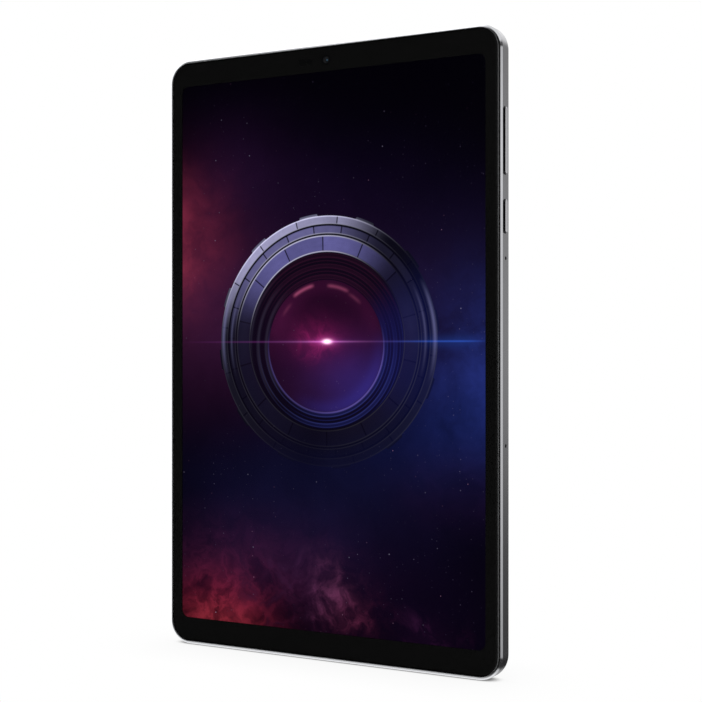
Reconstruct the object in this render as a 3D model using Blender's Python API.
"""Tablet computer, 8.8-inch class, standing upright in portrait.

Frame: metres, +Z up along the long side, the screen faces -Y, +X is the viewer's
right. The origin is the middle of the bottom edge, at mid thickness of the body.

Sizes below are millimetres. Shapes are given in x, depth and z, where depth is
measured back from the face of the front glass. A span is a (low, high) pair, and
a centre is the (x, z) of something that points front to back.
"""

import math

import bmesh
import bpy
from mathutils import Matrix, Vector

# ---------------------------------------------------------------- driving sizes
MM = 0.001
BODY_WIDTH, BODY_HEIGHT, BODY_THICKNESS = 129.5, 208.5, 7.8
HALF_WIDTH = BODY_WIDTH / 2
CORNER_RADIUS = 8.2                 # outer corner seen from the front
BACK_EDGE_RADIUS = 2.6              # soft edge between the sides and the back
RIM_DEPTH, RIM_CHAMFER = 0.80, 0.60  # front rim of the housing and its bright chamfer
RIM_WALL, SIDE_WALL, BACK_WALL = 0.80, 1.45, 0.85
STEP_DEPTH = 2.60                   # ledge that carries the mid frame
GLASS_THICKNESS, GLASS_INSET = 0.70, 1.13
ACTIVE_WIDTH, ACTIVE_HEIGHT, ACTIVE_RADIUS = 118.46, 189.54, 2.7
JOINT_GAP = 0.03                    # between a surface and the piece seated on it
STADIUM_TRIM = 0.01                 # keeps two rounded corners from quite meeting

KEY_DEPTH, KEY_WIDTH, KEY_PROUD, KEY_GAP = 3.05, 2.4, 0.55, 0.25
VOLUME_Z, POWER_Z = 171.15, 147.20
NUB_ARM = 7.5                       # volume switch nubs, above and below the pivot
SWITCH_DEPTH = 3.6                  # key nubs and the domes they press
# name, middle z, length, nub offsets from the middle
KEYS = (
    ("volume_rocker", VOLUME_Z, 21.2, (-NUB_ARM, NUB_ARM)),
    ("power_button", POWER_Z, 10.5, (0.0,)),
)

MIC_DEPTH, MIC_RADIUS = 3.55, 0.50
MIC_Z = (133.75, 74.35)             # upper, lower
GRILLE_DEPTH, GRILLE_WIDTH, GRILLE_LENGTH = 3.55, 1.1, 3.3
GRILLE_PITCH = 4.6
GRILLE_X = [22.5 + GRILLE_PITCH * i for i in range(6)]  # bottom edge; mirrored on top
END_HOLE_X, END_HOLE_RADIUS = 14.0, 0.45  # small hole: top edge; mirrored at the bottom
USB_DEPTH = 4.32
TRAY_Z, TRAY_DEPTHS, TRAY_GAP = (157.4, 175.6), (1.95, 4.95), 0.13
PIN_Z, PIN_DEPTH = 173.9, 4.10      # eject pin hole
LEVER_X, LEVER_Z = -41.9, 171.4
EJECT_DEPTH = 4.6                   # joints of the eject rod and lever

FRONT_CAMERA = (0.35, 202.85)
DECK_X, DECK_Z, DECK_WIDTH, DECK_PROUD = 47.0, (163.5, 198.5), 17.0, 1.4
DECK_BACK = BODY_THICKNESS + DECK_PROUD
MAIN_CAMERA = (DECK_X, 188.6)
SECOND_CAMERA = (DECK_X, 176.2)
FLASH = (DECK_X, 168.4)

PLATE_FRONT, PLATE_BACK = 3.35, 3.85    # floor of the mid frame
BOARD_FRONT, BOARD_BACK = 4.45, 5.25
SUB_BOARD_BACK = 5.05
ON_BOARD = BOARD_BACK + JOINT_GAP       # front of what sits on the main board
MODULE_BACK = 6.70                      # back of the cans, speakers and actuator

BOARD_SCREW_LEFT, BOARD_SCREW_RIGHT = (-50.0, 181.0), (31.0, 195.5)
SUB_BOARD_SCREW, BRACKET_SCREW = (-13.5, 30.5), (59.0, 153.0)
BOSSES = (BOARD_SCREW_LEFT, BOARD_SCREW_RIGHT, SUB_BOARD_SCREW)
SCREW_PASS_RADIUS = 0.85                # clearance holes in boards and bracket
SCREW_TIP = 3.60                        # depth of every screw's front end


# ---------------------------------------------------------------- span helpers
def y_at(depth):
    """The y, in millimetres, of a depth behind the front glass."""
    return depth - BODY_THICKNESS / 2


def around(middle, half):
    return middle - half, middle + half


def grow(span, margin):
    return span[0] - margin, span[1] + margin


# ---------------------------------------------------------------- a clean scene
for old in list(bpy.data.objects):
    bpy.data.objects.remove(old, do_unlink=True)
scene = bpy.context.scene
tablet = bpy.data.collections.new("tablet_computer")
helpers = bpy.data.collections.new("cutters")
scene.collection.children.link(tablet)
scene.collection.children.link(helpers)
helpers.hide_render = True


# ---------------------------------------------------------------- materials
def material(name, colour, roughness, metallic=0.0):
    made = bpy.data.materials.new(name)
    made.use_nodes = True
    inputs = made.node_tree.nodes["Principled BSDF"].inputs
    inputs["Base Color"].default_value = (*colour, 1.0)
    inputs["Roughness"].default_value = roughness
    inputs["Metallic"].default_value = metallic
    return made


BODY_METAL = material("anodised_aluminium", colour=(0.16, 0.16, 0.17), roughness=0.40,
                      metallic=1.0)
KEY_METAL = material("key_aluminium", colour=(0.22, 0.22, 0.23), roughness=0.35, metallic=1.0)
GLASS = material("cover_glass", colour=(0.02, 0.02, 0.02), roughness=0.03)
BLACK = material("black_plastic", colour=(0.012, 0.012, 0.013), roughness=0.45)
INK = material("black_ink", colour=(0.004, 0.004, 0.004), roughness=0.60)
PANEL = material("display_panel", colour=(0.02, 0.015, 0.05), roughness=0.15)
FILM = material("white_film", colour=(0.80, 0.80, 0.78), roughness=0.50)
ACRYLIC = material("clear_acrylic", colour=(0.75, 0.80, 0.82), roughness=0.10)
STEEL = material("stainless_steel", colour=(0.55, 0.55, 0.56), roughness=0.30, metallic=1.0)
CIRCUIT = material("circuit_board", colour=(0.015, 0.06, 0.035), roughness=0.45)
CHIP = material("chip_resin", colour=(0.02, 0.02, 0.022), roughness=0.50)
FLEX = material("polyimide_flex", colour=(0.30, 0.12, 0.02), roughness=0.40)
CELL = material("battery_wrap", colour=(0.03, 0.03, 0.035), roughness=0.40)
GRAPHITE = material("graphite", colour=(0.05, 0.05, 0.055), roughness=0.60, metallic=0.3)
RUBBER = material("silicone_rubber", colour=(0.02, 0.02, 0.02), roughness=0.80)
PUTTY = material("thermal_putty", colour=(0.35, 0.42, 0.50), roughness=0.80)
GOLD = material("gold_contacts", colour=(0.80, 0.58, 0.22), roughness=0.30, metallic=1.0)
LENS = material("lens_glass", colour=(0.01, 0.012, 0.02), roughness=0.03)
FOAM = material("adhesive_foam", colour=(0.01, 0.01, 0.01), roughness=0.90)


# ---------------------------------------------------------------- shape makers
def bevel(bm, edges, radius, segments):
    bmesh.ops.bevel(bm, geom=edges, offset=radius, offset_type="OFFSET", segments=segments,
                    profile=0.5, affect="EDGES", clamp_overlap=False)


def to_mesh(bm, name):
    mesh = bpy.data.meshes.new(name)
    bm.to_mesh(mesh)
    bm.free()
    return mesh


def block(x_span, depth_span, z_span, corner=None, axis="Y", high_rim=None, low_rim=None):
    """A box. corner rounds its four edges along axis, and high_rim and low_rim round
    the rims at the two ends of that axis. Each is (radius, segments)."""
    spans = (x_span, [y_at(depth) for depth in depth_span], z_span)
    bm = bmesh.new()
    bmesh.ops.create_cube(bm, size=1.0)
    bmesh.ops.scale(bm, vec=[high - low for low, high in spans], verts=bm.verts)
    bmesh.ops.translate(bm, vec=[(high + low) / 2 for low, high in spans], verts=bm.verts)
    k = "XYZ".index(axis)
    if corner:
        along = [edge for edge in bm.edges
                 if abs((edge.verts[0].co - edge.verts[1].co).normalized()[k]) > 0.99]
        bevel(bm, along, *corner)
        bmesh.ops.remove_doubles(bm, verts=bm.verts, dist=1e-4)
    low, high = spans[k]
    for rim, end in ((high_rim, high), (low_rim, low)):
        if rim:
            loop = [edge for edge in bm.edges
                    if all(abs(vert.co[k] - end) < 1e-4 for vert in edge.verts)]
            bevel(bm, loop, *rim)
    bmesh.ops.recalc_face_normals(bm, faces=bm.faces)
    return to_mesh(bm, "block")


def centred_block(centre, half_size, depth_span, **rounding):
    """A block about a centre; half_size is its (x, z) reach."""
    return block(around(centre[0], half_size[0]), depth_span,
                 around(centre[1], half_size[1]), **rounding)


def inset_plate(inset, depth_span, segments=8, radius=None, **rims):
    """A slab whose outline is the body's, moved in by inset."""
    if radius is None:
        radius = CORNER_RADIUS - inset
    return block(around(0.0, HALF_WIDTH - inset), depth_span, (inset, BODY_HEIGHT - inset),
                 corner=(radius, segments), **rims)


def rod(start, end, radius, segments, end_radius=None):
    """A round bar or cone between two (x, depth, z) points that differ in one of them."""
    a, b = [Vector((x, y_at(depth), z)) for x, depth, z in (start, end)]
    bm = bmesh.new()
    bmesh.ops.create_cone(bm, cap_ends=True, segments=segments, radius1=radius,
                          radius2=radius if end_radius is None else end_radius,
                          depth=(b - a).length)
    turn = Vector((0, 0, 1)).rotation_difference((b - a).normalized()).to_matrix()
    bmesh.ops.rotate(bm, cent=(0, 0, 0), matrix=turn, verts=bm.verts)
    bmesh.ops.translate(bm, vec=(a + b) / 2, verts=bm.verts)
    return to_mesh(bm, "rod")


def post(centre, depth_span, radius, segments, end_radius=None):
    """A rod running front to back; radius is at its front end."""
    x, z = centre
    front, back = depth_span
    return rod((x, front, z), (x, back, z), radius, segments, end_radius)


def dome(x, depth, z, radius, height, segments=20, rings=4):
    """A shallow spherical cap with a flat base, bulging along +X."""
    sphere = (radius * radius + height * height) / (2 * height)
    profile = []
    for i in range(rings + 1):
        angle = math.asin(radius / sphere) * i / rings
        profile.append((sphere * math.sin(angle), 0.0,
                        sphere * math.cos(angle) - (sphere - height)))
    profile.append((0.0, 0.0, 0.0))
    bm = bmesh.new()
    verts = [bm.verts.new(point) for point in profile]
    for a, b in zip(verts, verts[1:]):
        bm.edges.new((a, b))
    bmesh.ops.spin(bm, geom=bm.verts[:] + bm.edges[:], cent=(0, 0, 0), axis=(0, 0, 1),
                   angle=2 * math.pi, steps=segments, use_merge=True)
    bmesh.ops.remove_doubles(bm, verts=bm.verts, dist=1e-4)
    bmesh.ops.recalc_face_normals(bm, faces=bm.faces)
    bmesh.ops.rotate(bm, cent=(0, 0, 0), matrix=Matrix.Rotation(math.pi / 2, 3, "Y"),
                     verts=bm.verts)
    bmesh.ops.translate(bm, vec=(x, y_at(depth), z), verts=bm.verts)
    return to_mesh(bm, "dome")


def ribbon_outline(path, thickness):
    """Both sides of a path of 2D points, mitred at its bends, as one closed loop."""
    left, right = [], []
    points = [Vector(point) for point in path]
    for i, point in enumerate(points):
        runs = []
        if i > 0:
            runs.append((point - points[i - 1]).normalized())
        if i < len(points) - 1:
            runs.append((points[i + 1] - point).normalized())
        heading = sum(runs, Vector((0, 0))).normalized()
        mitre = 1.0 / max(0.5, heading.dot(runs[0]))
        side = Vector((-heading.y, heading.x)) * (thickness / 2 * mitre)
        left.append(point + side)
        right.append(point - side)
    return left + right[::-1]


def ribbon(path, thickness, x_span):
    """A flat cable: path is the (z, depth) points of its middle line, swept over
    x_span. The outline is a filled 2D curve, extruded."""
    outline = ribbon_outline(path, thickness)
    curve = bpy.data.curves.new("ribbon", "CURVE")
    curve.dimensions = "2D"
    curve.fill_mode = "BOTH"
    curve.extrude = (x_span[1] - x_span[0]) / 2
    spline = curve.splines.new("POLY")
    spline.points.add(len(outline) - 1)
    for point, co in zip(spline.points, outline):
        point.co = (co.x, co.y, 0.0, 1.0)
    spline.use_cyclic_u = True
    made = bpy.data.objects.new("ribbon_curve", curve)
    scene.collection.objects.link(made)
    bpy.context.view_layer.update()
    mesh = bpy.data.meshes.new_from_object(
        made.evaluated_get(bpy.context.evaluated_depsgraph_get()))
    bpy.data.objects.remove(made, do_unlink=True)
    bm = bmesh.new()
    bm.from_mesh(mesh)
    bmesh.ops.remove_doubles(bm, verts=bm.verts, dist=1e-4)
    # the curve's x, y and z are the tablet's z, depth and x
    for vert in bm.verts:
        z, depth, x = vert.co
        vert.co = Vector((x + (x_span[0] + x_span[1]) / 2, y_at(depth), z))
    bmesh.ops.recalc_face_normals(bm, faces=bm.faces)
    return to_mesh(bm, "ribbon")


def joined(shapes):
    """Several shapes that don't touch, as one mesh."""
    bm = bmesh.new()
    for shape in shapes:
        bm.from_mesh(shape)
    return to_mesh(bm, "joined")


# ---------------------------------------------------------------- object makers
def place(name, mesh, collection, parent=None):
    """Scales a millimetre mesh to metres about its own centre and places it."""
    corners = [[pick(vert.co[k] for vert in mesh.vertices) for k in range(3)]
               for pick in (min, max)]
    middle = (Vector(corners[0]) + Vector(corners[1])) / 2
    mesh.transform(Matrix.Translation(-middle))
    mesh.transform(Matrix.Scale(MM, 4))
    mesh.name = name
    obj = bpy.data.objects.new(name, mesh)
    collection.objects.link(obj)
    obj.location = middle * MM
    if parent is not None:
        obj.parent = parent
        obj.location = middle * MM - parent.location
    return obj


def part(name, finish, body, adds=(), cuts=(), parent=None):
    """A named piece, with shapes joined to its body first and then cut from it."""
    obj = place(name, body, tablet, parent)
    body.shade_smooth()
    body.set_sharp_from_angle(angle=math.radians(32))
    body.materials.append(finish)
    for word, operation, shapes in (("add", "UNION", adds), ("cut", "DIFFERENCE", cuts)):
        for i, shape in enumerate(shapes):
            tool = place(f"{name}_{word}_{i}", shape, helpers)
            tool.hide_render = True
            tool.display_type = "WIRE"
            modifier = obj.modifiers.new(f"{word}_{i}", "BOOLEAN")
            modifier.operation = operation
            modifier.solver = "EXACT"
            modifier.object = tool


def pivot(name, x, depth, z):
    """An empty on a joint's axis, which carries that joint's pieces."""
    empty = bpy.data.objects.new(name, None)
    tablet.objects.link(empty)
    empty.location = Vector((x, y_at(depth), z)) * MM
    empty.empty_display_size = 0.004
    return empty


# ---------------------------------------------------------------- rear housing
RIGHT_WALL_CUT, LEFT_WALL_CUT = (62.0, 67.0), (-67.0, -62.0)
BOTTOM_CUT, TOP_CUT = (-2.0, 2.3), (BODY_HEIGHT - 2.3, BODY_HEIGHT + 2.0)
DECK_OPENING_INSET = 1.0


def key_opening(z, length):
    """A stadium opening through the right wall, long along Z."""
    half_width = KEY_WIDTH / 2 + KEY_GAP
    return block(RIGHT_WALL_CUT, around(KEY_DEPTH, half_width), around(z, length / 2 + KEY_GAP),
                 axis="X", corner=(half_width - STADIUM_TRIM, 5))


def grille_slot(x, z_span):
    return block(around(x, GRILLE_LENGTH / 2), around(GRILLE_DEPTH, GRILLE_WIDTH / 2), z_span,
                 axis="Z", corner=(GRILLE_WIDTH / 2 - STADIUM_TRIM, 3))


def right_wall_hole(z):
    return rod((RIGHT_WALL_CUT[0], MIC_DEPTH, z), (RIGHT_WALL_CUT[1], MIC_DEPTH, z),
               MIC_RADIUS, segments=12)


def end_hole(x, z_span):
    return rod((x, GRILLE_DEPTH, z_span[0]), (x, GRILLE_DEPTH, z_span[1]),
               END_HOLE_RADIUS, segments=12)


openings = [key_opening(z, length) for _, z, length, _ in KEYS]
openings += [right_wall_hole(z) for z in MIC_Z]
openings += [
    block(LEFT_WALL_CUT, grow(TRAY_DEPTHS, TRAY_GAP), grow(TRAY_Z, TRAY_GAP),
          axis="X", corner=(1.6, 5)),
    block(around(0.0, 4.65), around(USB_DEPTH, 1.77), BOTTOM_CUT, axis="Z", corner=(1.7, 5)),
    end_hole(-END_HOLE_X, BOTTOM_CUT),
    end_hole(END_HOLE_X, TOP_CUT),
    block(around(DECK_X, DECK_WIDTH / 2 - DECK_OPENING_INSET), (6.0, 9.0),
          grow(DECK_Z, -DECK_OPENING_INSET),
          corner=(DECK_WIDTH / 2 - DECK_OPENING_INSET - STADIUM_TRIM, 8)),
]
openings += [grille_slot(x, BOTTOM_CUT) for x in GRILLE_X]
openings += [grille_slot(-x, TOP_CUT) for x in reversed(GRILLE_X)]

front_cavity = inset_plate(RIM_WALL, (-1.0, STEP_DEPTH))
back_cavity = inset_plate(SIDE_WALL, (1.5, BODY_THICKNESS - BACK_WALL), high_rim=(2.1, 3))
key_pockets = joined([block((61.0, 63.70), (1.20, 5.20), around(z, length / 2 + 1.6))
                      for _, z, length, _ in KEYS])
part("rear_housing", BODY_METAL,
     inset_plate(0.0, (RIM_DEPTH, BODY_THICKNESS),
                 high_rim=(BACK_EDGE_RADIUS, 5), low_rim=(RIM_CHAMFER, 1)),
     cuts=[front_cavity, back_cavity, key_pockets, joined(openings)])

# ---------------------------------------------------------------- mid frame
PAST_PLATE = 4.5                    # depth at which cuts are clear of the plate
LIP_GAP = 0.08                      # between the frame's lip and the housing

frame_windows = [
    block((-5.0, 5.0), (2.45, PAST_PLATE), (-1.0, 7.3)),                # socket
    block((6.5, 17.5), (1.20, PAST_PLATE), (4.30, 6.60)),               # display cable
    post(FRONT_CAMERA, (0.5, PAST_PLATE), 1.95, segments=20),
    block((-10.6, -4.8), (0.5, PAST_PLATE), (201.0, 204.7), corner=(0.6, 3)),  # light sensor
    block((61.32, 65.0), (1.20, PAST_PLATE), (139.6, 184.8)),           # side keys
]
frame_windows += [block((61.60, 65.0), (2.55, PAST_PLATE), around(z, 1.7)) for z in MIC_Z]
frame_windows += [
    block((-65.0, -61.2), (1.75, PAST_PLATE), (156.6, 176.8)),          # card tray
    block((-48.5, -19.5), (2.80, PAST_PLATE), (205.2, 209.0)),          # upper grille
    block((19.5, 48.5), (2.80, PAST_PLATE), (-1.0, 3.3)),               # lower grille
]
# windows in the plate: x span, z span
for x_span, z_span in (((-54.0, -44.0), (12.0, 26.0)),
                       ((-20.0, -8.0), (36.0, 41.0)),
                       ((8.0, 50.0), (36.0, 41.0))):
    frame_windows.append(block(x_span, (3.0, PAST_PLATE), z_span, corner=(2.0, 3)))
frame_windows += [post(centre, (3.5, 4.8), 0.75, segments=12)
                  for centre in BOSSES + (BRACKET_SCREW,)]

frame_lip = inset_plate(RIM_WALL + LIP_GAP, (0.66, STEP_DEPTH - LIP_GAP))
frame_bosses = joined([post(centre, (PLATE_FRONT + 0.1, 4.40), 1.7, segments=14)
                       for centre in BOSSES])
glass_recess = inset_plate(1.05, (-1.0, 0.92))
display_well = block(around(0.0, 60.95), (0.5, PLATE_FRONT), (6.25, 200.60), corner=(0.6, 2))
part("mid_frame", BLACK, inset_plate(1.55, (0.95, PLATE_BACK), segments=6),
     adds=[frame_lip, frame_bosses],
     cuts=[glass_recess, display_well, joined(frame_windows)])

# ---------------------------------------------------------------- front glass and print
PRINT_CUT, GASKET_CUT = (0.3, 1.2), (0.3, 1.4)
SENSOR_HOLES = ((-9.0, 1.40), (-6.2, 1.15))   # x, radius
SENSOR_HOLE_Z = 202.8

part("cover_glass", GLASS, inset_plate(GLASS_INSET, (0, GLASS_THICKNESS), low_rim=(0.45, 3)))
part("border_print", INK, inset_plate(1.75, (0.73, 0.77), segments=6, radius=6.5),
     cuts=[joined([
         centred_block((0.0, BODY_HEIGHT / 2), (ACTIVE_WIDTH / 2, ACTIVE_HEIGHT / 2),
                       PRINT_CUT, corner=(ACTIVE_RADIUS, 4)),
         post(FRONT_CAMERA, PRINT_CUT, 1.15, segments=20),
     ] + [post((x, SENSOR_HOLE_Z), PRINT_CUT, radius, segments=16)
          for x, radius in SENSOR_HOLES])])
part("glass_gasket", FOAM, inset_plate(1.45, (0.79, 0.88), segments=6, radius=6.8),
     cuts=[joined([
         block(around(0.0, 61.1), GASKET_CUT, (6.0, 200.75), corner=(2.0, 3)),
         post(FRONT_CAMERA, GASKET_CUT, 2.0, segments=16),
         block((-10.7, -4.7), GASKET_CUT, (201.0, 204.7), corner=(0.6, 3))])])

# ---------------------------------------------------------------- display module
PANEL_X, PANEL_TOP = around(0.0, 60.5), 200.2
FILM_X, FILM_BOTTOM, FILM_TOP = around(0.0, 60.3), 7.6, 200.0
GUIDE_BACK = 2.91                   # back of the light guide and of the LED bar
TRAY_WALL = 0.25
LED_X = [-54 + 9.0 * i for i in range(13)]

part("lcd_panel", PANEL, block(PANEL_X, (1.51, 2.06), (6.4, PANEL_TOP)), adds=[
    block(PANEL_X, (0.96, 1.60), (8.7, PANEL_TOP)),
    block((-16.0, 4.0), (1.20, 1.60), (6.9, 8.2))])
part("diffuser_films", FILM, block(FILM_X, (2.10, 2.38), (FILM_BOTTOM, FILM_TOP)))
part("light_guide", ACRYLIC, block(FILM_X, (2.41, GUIDE_BACK), (9.4, FILM_TOP)))
part("backlight_led_bar", FILM, block(around(0.0, 58.0), (2.80, GUIDE_BACK), (FILM_BOTTOM, 9.3)),
     adds=[joined([block(around(x, 1.5), (2.42, 2.85), (7.9, 9.1)) for x in LED_X])])
part("reflector_film", FILM, block(FILM_X, (2.94, 3.02), (FILM_BOTTOM, FILM_TOP)))
tray_x, tray_z = around(0.0, 60.8), (7.1, 200.45)
part("backlight_tray", STEEL, block(tray_x, (2.10, 3.25), tray_z, corner=(0.7, 2)),
     cuts=[block(grow(tray_x, -TRAY_WALL), (1.5, 3.05), grow(tray_z, -TRAY_WALL))])

# Middle line of the cable from the panel's lower edge, round under the display: z, depth
DISPLAY_FLEX_PATH = [
    (7.95, 1.40), (5.7, 1.40), (5.1, 1.65), (4.85, 2.25),
    (4.85, 3.35), (5.1, 3.90), (5.7, 4.15), (17.0, 4.15),
]
part("display_flex", FLEX, ribbon(DISPLAY_FLEX_PATH, thickness=0.11, x_span=(7.0, 17.0)),
     adds=[block((7.6, 16.4), (4.02, 4.38), (14.5, 16.8))])

# ---------------------------------------------------------------- heat sheet and battery
CELL_DEPTHS, CELL_Z = (4.0, 6.75), (43.0, 148.0)
PROTECTION_CHIP_X = (-26, -18, -6, 2, 12)   # left side of each

part("graphite_sheet", GRAPHITE,
     block((-50.0, 30.0), (6.86, 6.92), (60.0, 182.0), corner=(3.0, 3)))
for side, x_span in (("left", (-57.5, -1.2)), ("right", (1.2, 56.0))):
    part(f"battery_cell_{side}", CELL,
         block(x_span, CELL_DEPTHS, CELL_Z, corner=(1.6, 3), high_rim=(0.5, 2),
               low_rim=(0.5, 2)))
part("battery_protection_board", CIRCUIT, block(around(0.0, 30.0), (4.5, 5.0), (148.4, 151.6)),
     adds=[joined([block((x, x + 3.0), (4.9, 5.30), (149.0, 151.0))
                   for x in PROTECTION_CHIP_X])])
part("battery_flex", FLEX, block((21.5, 28.5), (5.36, 5.48), (149.0, 158.0), corner=(0.8, 2)),
     adds=[block((22.0, 28.0), (5.30, 6.05), (155.0, 157.6))])

# ---------------------------------------------------------------- main board
# Components on the back of the board: middle x, middle z, x size, z size, height
BOARD_COMPONENTS = (
    (-20.0, 180.5, 6.0, 2.4, 0.9), (-10.0, 180.5, 8.0, 2.4, 0.9), (4.0, 187.0, 9.0, 7.0, 0.8),
    (-8.0, 189.0, 5.0, 5.0, 0.7), (16.0, 187.5, 5.0, 8.5, 0.8), (26.0, 176.0, 7.0, 7.0, 0.9),
    (26.5, 165.5, 6.0, 6.0, 1.0), (33.0, 184.0, 4.0, 3.0, 1.1), (-52.0, 154.4, 5.0, 1.6, 0.6),
    (-44.0, 154.4, 4.0, 1.6, 0.6), (-8.0, 154.4, 9.0, 2.2, 0.25), (10.0, 194.5, 10.0, 2.4, 0.9),
    (22.0, 194.8, 5.0, 3.0, 0.7), (-13.0, 195.5, 3.0, 3.0, 0.9),
)
BOARD_CUT = (4.0, 6.0)
PROCESSOR_BACK = 6.10
SHIELD_WALL = 0.2

board_upper = block((-18.0, 37.0), (BOARD_FRONT, BOARD_BACK), (184.0, 199.5))
board_components = joined([
    centred_block((x, z), (x_size / 2, z_size / 2), (BOARD_BACK - 0.2, BOARD_BACK + height))
    for x, z, x_size, z_size, height in BOARD_COMPONENTS])
reader_notch = block((-70.0, -38.9), BOARD_CUT, (156.6, 177.4))
part("mainboard", CIRCUIT, block((-58.0, 37.0), (BOARD_FRONT, BOARD_BACK), (152.6, 184.5)),
     adds=[board_upper, board_components],
     cuts=[joined([reader_notch] + [post(centre, BOARD_CUT, SCREW_PASS_RADIUS, segments=12)
                                    for centre in (BOARD_SCREW_LEFT, BOARD_SCREW_RIGHT)])])
part("processor_package", CHIP, block((1.0, 15.5), (ON_BOARD, PROCESSOR_BACK), (160.0, 174.5)))
part("storage_package", CHIP, block((-14.5, -3.0), (ON_BOARD, 6.20), (160.5, 173.5)))


def shield(name, x_span, z_span):
    """A pressed can, open towards the board."""
    part(name, STEEL, block(x_span, (ON_BOARD, MODULE_BACK), z_span, corner=(0.6, 2),
                            high_rim=(0.25, 1)),
         cuts=[block(grow(x_span, -SHIELD_WALL), (5.0, MODULE_BACK - SHIELD_WALL),
                     grow(z_span, -SHIELD_WALL), corner=(0.4, 2))])


shield("processor_shield", (-18.0, 20.0), (156.6, 178.4))
shield("radio_shield", (-37.0, -21.0), (157.0, 178.4))
part("thermal_pad", PUTTY,
     block((2.0, 14.5), (PROCESSOR_BACK + JOINT_GAP, 6.45), (161.0, 173.5)))

# ---------------------------------------------------------------- lower board and socket
# Components on the back of the lower board: x span, back depth, z span
SUB_BOARD_COMPONENTS = (
    ((-12.5, -3.5), 5.35, (26.0, 28.4)),
    ((4.0, 11.0), 5.75, (14.0, 20.0)),
    ((-14.0, -9.0), 5.65, (12.0, 17.0)),
    ((6.0, 14.0), 5.55, (25.0, 29.0)),
    ((-15.6, -12.4), 5.95, (4.0, 6.6)),
)
USB_HALF_WIDTH, USB_HALF_THICKNESS, USB_RADIUS, USB_WALL = 4.47, 1.6, 1.58, 0.3

part("sub_board", CIRCUIT, block((-18.0, 17.0), (BOARD_FRONT, SUB_BOARD_BACK), (2.6, 34.0)),
     adds=[joined([block(x_span, (4.9, back), z_span)
                   for x_span, back, z_span in SUB_BOARD_COMPONENTS])],
     cuts=[joined([block(around(0.0, 4.75), (4.0, 7.0), (-1.0, 7.3)),
                   post(SUB_BOARD_SCREW, (4.0, 6.0), SCREW_PASS_RADIUS, segments=12)])])


def usb_sleeve(inset, z_span):
    """The socket's outline, moved in by inset."""
    return block(around(0.0, USB_HALF_WIDTH - inset),
                 around(USB_DEPTH, USB_HALF_THICKNESS - inset), z_span,
                 axis="Z", corner=(USB_RADIUS - inset, 6))


part("usb_c_shell", STEEL, usb_sleeve(0.0, (0.35, 6.95)),
     cuts=[usb_sleeve(USB_WALL, (-1.0, 6.40))])
part("usb_c_tongue", BLACK,
     block(around(0.0, 3.35), around(USB_DEPTH, 0.35), (1.15, 6.35), corner=(0.3, 2)))

# Middle line of the cable that runs behind the battery, board to board: z, depth
BOARD_LINK_PATH = [
    (24.5, 5.46), (31.0, 5.46), (34.5, 5.75), (40.5, 6.65), (42.6, 6.81),
    (148.4, 6.81), (150.0, 6.55), (152.6, 5.75), (153.6, 5.60), (155.8, 5.60),
]
part("board_link_flex", FLEX, ribbon(BOARD_LINK_PATH, thickness=0.06, x_span=(-12.0, -4.0)))


# ---------------------------------------------------------------- speakers
def speaker(tag, x_span, z_span, axis_z, port_x, port_z):
    """A speaker box with a recess for its diaphragm and a port towards the grille."""
    centre = (sum(x_span) / 2, axis_z)
    part(f"speaker_{tag}_module", BLACK,
         block(x_span, (3.95, MODULE_BACK), z_span, corner=(2.0, 3)),
         cuts=[joined([centred_block(centre, (9.5, 6.0), (5.80, 7.5), corner=(3.5, 4)),
                       block(port_x, (4.20, 5.40), port_z)])])
    part(f"speaker_{tag}_diaphragm", BLACK,
         centred_block(centre, (9.1, 5.6), (6.15, 6.40), corner=(3.2, 4)),
         adds=[centred_block(centre, (6.0, 3.2), (6.30, 6.44), corner=(1.8, 3))],
         parent=pivot(f"speaker_{tag}_axis", centre[0], 6.30, axis_z))


speaker("top", x_span=(-57.5, -19.5), z_span=(185.8, 205.2), axis_z=193.3,
        port_x=(-47.0, -21.5), port_z=(201.5, 206.5))
speaker("bottom", x_span=(19.5, 57.5), z_span=(3.3, 22.7), axis_z=15.2,
        port_x=(21.5, 47.0), port_z=(2.0, 7.0))

# ---------------------------------------------------------------- haptic actuator
HAPTIC = (-33.0, 12.5)
part("haptic_housing", STEEL,
     centred_block(HAPTIC, (9.0, 4.5), (4.0, MODULE_BACK), corner=(0.8, 2)),
     cuts=[centred_block(HAPTIC, (8.5, 4.0), (4.4, 7.5), corner=(0.5, 2))])
part("haptic_mass", STEEL, centred_block(HAPTIC, (5.6, 3.6), (4.6, 6.45), corner=(0.4, 2)),
     cuts=[centred_block(HAPTIC, (2.0, 1.9), (5.6, 7.0), corner=(0.6, 2))],
     parent=pivot("haptic_axis", HAPTIC[0], 5.5, HAPTIC[1]))

# ---------------------------------------------------------------- front camera and sensor
part("front_camera", BLACK,
     centred_block(FRONT_CAMERA, (2.8, 2.8), (3.92, 5.90), corner=(0.4, 2)),
     adds=[post(FRONT_CAMERA, (0.95, 4.2), 1.75, segments=20)],
     cuts=[post(FRONT_CAMERA, (0.5, 1.30), 1.15, segments=20, end_radius=0.60)])
part("light_sensor", CHIP, block((-10.3, -5.1), (0.96, 1.90), (201.4, 204.3)),
     adds=[block((-9.9, -5.5), (1.8, 4.2), (201.8, 203.9))])

# ---------------------------------------------------------------- rear cameras
MAIN_BARREL_RADIUS, SECOND_BARREL_RADIUS = 4.6, 2.6
BARREL_DEPTHS, BARREL_GAP = (6.5, 8.30), 0.25
WINDOW_GAP = 0.15                   # round each window and in front of it
DECK_PLUG_INSET = 1.2               # the part of the deck that enters the housing
DECK_ROUND_TRIM = 0.20

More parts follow.
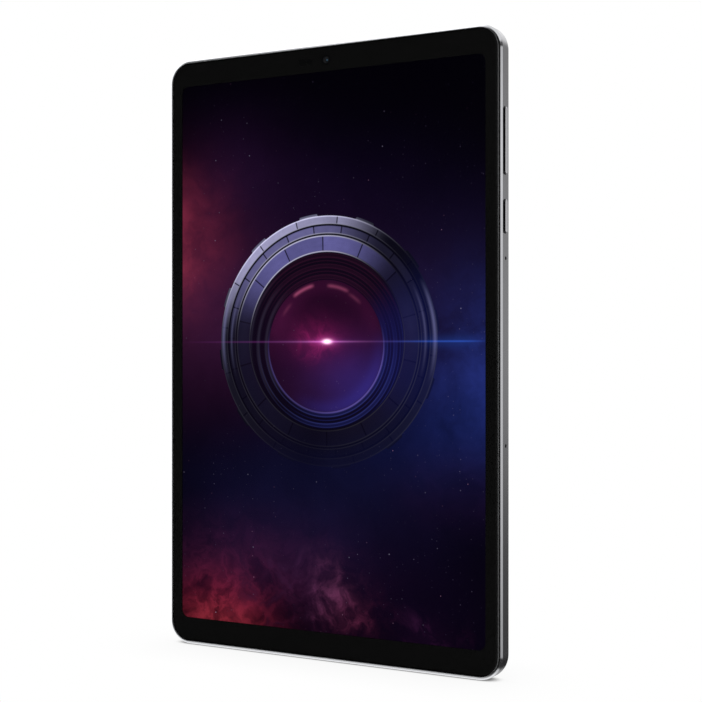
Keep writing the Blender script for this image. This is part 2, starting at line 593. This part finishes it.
part("rear_camera_module", BLACK,
     centred_block(MAIN_CAMERA, (5.7, 5.7), (4.0, 6.95), corner=(0.5, 2)),
     adds=[post(MAIN_CAMERA, BARREL_DEPTHS, MAIN_BARREL_RADIUS, segments=28)],
     cuts=[post(MAIN_CAMERA, (4.9, 9.0), 3.65, segments=28)])
part("rear_camera_lens", LENS, post(MAIN_CAMERA, (5.30, 8.05), 3.45, segments=28),
     cuts=[post(MAIN_CAMERA, (7.2, 8.6), 1.6, segments=28, end_radius=3.4)],
     parent=pivot("focus_axis", DECK_X, 6.5, MAIN_CAMERA[1]))
part("second_camera", BLACK,
     centred_block(SECOND_CAMERA, (3.8, 3.8), (4.0, 6.9), corner=(0.4, 2)),
     adds=[post(SECOND_CAMERA, BARREL_DEPTHS, SECOND_BARREL_RADIUS, segments=24)],
     cuts=[post(SECOND_CAMERA, (7.5, 8.8), 1.0, segments=24, end_radius=2.3)])

# name, material, centre, then the hole's radius and segments, then the window's
# radius, segments, front depth and how far its back lies below the deck's
DECK_WINDOWS = (
    ("main_lens_window", LENS, MAIN_CAMERA, MAIN_BARREL_RADIUS + BARREL_GAP, 28,
     5.30, 32, 8.55, 0.06),
    ("second_lens_window", LENS, SECOND_CAMERA, SECOND_BARREL_RADIUS + BARREL_GAP, 24,
     3.30, 24, 8.55, 0.06),
    ("flash_lens", FILM, FLASH, 1.3, 16, 1.80, 20, 8.25, 0.04),
)
deck_holes = joined([post(centre, (6.5, front - 0.05), radius, segments)
                     for _, _, centre, radius, segments, _, _, front, _ in DECK_WINDOWS])
window_recesses = [post(centre, (front - WINDOW_GAP, 10.0), radius + WINDOW_GAP, segments)
                   for _, _, centre, _, _, radius, segments, front, _ in DECK_WINDOWS]
deck_plug = block(around(DECK_X, DECK_WIDTH / 2 - DECK_PLUG_INSET), (7.05, 8.6),
                  grow(DECK_Z, -DECK_PLUG_INSET),
                  corner=(DECK_WIDTH / 2 - DECK_PLUG_INSET - DECK_ROUND_TRIM, 8))
part("camera_deck", BODY_METAL,
     block(around(DECK_X, DECK_WIDTH / 2), (BODY_THICKNESS + JOINT_GAP, DECK_BACK), DECK_Z,
           corner=(DECK_WIDTH / 2 - DECK_ROUND_TRIM, 10), high_rim=(0.45, 2)),
     adds=[deck_plug], cuts=[deck_holes] + window_recesses)
for name, finish, centre, _, _, radius, segments, front, sunk in DECK_WINDOWS:
    part(name, finish, post(centre, (front, DECK_BACK - sunk), radius, segments))

# ---------------------------------------------------------------- side microphones
for tag, mic_z in zip(("upper", "lower"), MIC_Z):
    part(f"microphone_{tag}", GOLD, block((57.2, 60.9), (4.0, 5.0), around(mic_z, 1.5)),
         adds=[block((60.5, 62.0), (4.02, 4.90), around(mic_z, 1.30)),
               block((61.75, 63.15), (2.72, 4.92), around(mic_z, 1.40))],
         cuts=[rod((62.2, MIC_DEPTH, mic_z), (64.0, MIC_DEPTH, mic_z), 0.42, segments=12)])

# ---------------------------------------------------------------- side keys
KEY_AXIS_X = 62.8


def key(name, z, length, nub_offsets):
    """A metal key cap with its retaining flange and its switch nubs."""
    flange = block((62.50, 63.30), (1.40, 5.0), around(z, length / 2 + 0.7),
                   axis="X", corner=(0.5, 2))
    nubs = joined([rod((62.10, SWITCH_DEPTH, z + offset), (62.70, SWITCH_DEPTH, z + offset),
                       0.7, segments=12) for offset in nub_offsets])
    part(name, KEY_METAL,
         block((62.9, HALF_WIDTH + KEY_PROUD), around(KEY_DEPTH, KEY_WIDTH / 2),
               around(z, length / 2), axis="X", corner=(KEY_WIDTH / 2 - 0.15, 5),
               high_rim=(0.30, 2)),
         adds=[flange, nubs], parent=pivot(f"{name}_axis", KEY_AXIS_X, KEY_DEPTH, z))


for key_row in KEYS:
    key(*key_row)
for name, dome_z in (("volume_up_dome", VOLUME_Z + NUB_ARM),
                     ("volume_down_dome", VOLUME_Z - NUB_ARM),
                     ("power_dome", POWER_Z)):
    part(name, STEEL, dome(61.74, SWITCH_DEPTH, dome_z, radius=1.9, height=0.31))
part("side_key_flex", FLEX, block((61.60, 61.70), (2.6, 4.62), (141.2, 183.2)),
     adds=[block((34.5, 61.66), (4.28, 4.38), (163.4, 167.4))])

BRACKET_TAB_BACK = 4.18
bracket_tabs = joined([
    block((56.6, 61.50), (3.95, BRACKET_TAB_BACK), z_span, corner=(0.8, 2))
    for z_span in (around(BRACKET_SCREW[1], 2.6), (174.2, 179.4))])
part("side_key_bracket", STEEL, block((61.36, 61.56), (1.5, 4.75), (140.4, 184.0)),
     adds=[bracket_tabs],
     cuts=[joined([post(BRACKET_SCREW, (3.0, 5.0), SCREW_PASS_RADIUS, segments=12),
                   block((61.0, 62.0), (4.24, 5.0), (163.2, 167.6))])])

# ---------------------------------------------------------------- card tray and reader
tray_axis = pivot("tray_axis", -HALF_WIDTH, sum(TRAY_DEPTHS) / 2, sum(TRAY_Z) / 2)
part("card_tray", KEY_METAL,
     block((-HALF_WIDTH, -63.45), TRAY_DEPTHS, TRAY_Z, axis="X", corner=(1.49, 5),
           low_rim=(0.12, 1)),
     adds=[block((-63.55, -62.70), (2.55, 4.94), (158.6, 172.2), axis="X", corner=(0.5, 2)),
           block((-62.9, -45.0), (4.15, 4.93), (158.6, 171.0), corner=(0.8, 2))],
     cuts=[joined([block((-61.6, -46.2), (3.8, 5.3), (159.3, 170.3), corner=(0.6, 2)),
                   rod((-66.0, PIN_DEPTH, PIN_Z), (-63.0, PIN_DEPTH, PIN_Z), 0.45,
                       segments=12)])],
     parent=tray_axis)
part("tray_seal", RUBBER,
     block((-63.38, -62.86), (2.20, 5.03), (158.0, 172.7), axis="X", corner=(0.7, 3)),
     cuts=[block((-64.0, -62.0), (2.50, 4.985), (158.53, 172.28), axis="X", corner=(0.5, 2))],
     parent=tray_axis)
part("card_reader", STEEL, block((-61.5, -39.3), (3.92, 5.45), (157.0, 177.0)),
     cuts=[block((-65.0, -39.6), (4.06, 5.27), (158.0, 176.0))])

# The rod is thinned above and below at its inner end, and has a pad at its outer end.
rod_thinning = joined([block((-44.5, -42.0), (4.0, 5.3), z_span)
                       for z_span in ((PIN_Z - 1.0, PIN_Z - 0.25), (PIN_Z + 0.25, PIN_Z + 1.0))])
part("eject_rod", STEEL, block((-62.9, -42.75), (4.25, 5.05), around(PIN_Z, 0.5)),
     adds=[block((-63.1, -62.7), (3.62, 5.05), around(PIN_Z, 0.75), axis="X", corner=(0.2, 2))],
     cuts=[rod_thinning], parent=pivot("rod_axis", -62.9, EJECT_DEPTH, PIN_Z))
part("eject_lever", STEEL,
     block(around(LEVER_X, 0.6), (4.25, 5.0), (LEVER_Z - 4.8, LEVER_Z + 3.6), corner=(0.55, 3)),
     adds=[post((LEVER_X, LEVER_Z), (4.12, 5.2), 1.0, segments=16)],
     parent=pivot("lever_axis", LEVER_X, EJECT_DEPTH, LEVER_Z))


# ---------------------------------------------------------------- screws
def screw(name, centre, seat):
    """A low-head screw driven from the back, with a cross recess; seat is the depth
    of the surface it holds down."""
    head = seat + JOINT_GAP
    recess = (head + 0.2, head + 1)
    part(name, STEEL, post(centre, (head, head + 0.45), 1.35, segments=16, end_radius=1.15),
         adds=[post(centre, (SCREW_TIP, head + 0.2), 0.62, segments=12)],
         cuts=[centred_block(centre, half_size, recess)
               for half_size in ((0.8, 0.14), (0.14, 0.8))])


screw("mainboard_screw_left", BOARD_SCREW_LEFT, BOARD_BACK)
screw("mainboard_screw_right", BOARD_SCREW_RIGHT, BOARD_BACK)
screw("sub_board_screw", SUB_BOARD_SCREW, SUB_BOARD_BACK)
screw("bracket_screw", BRACKET_SCREW, BRACKET_TAB_BACK)
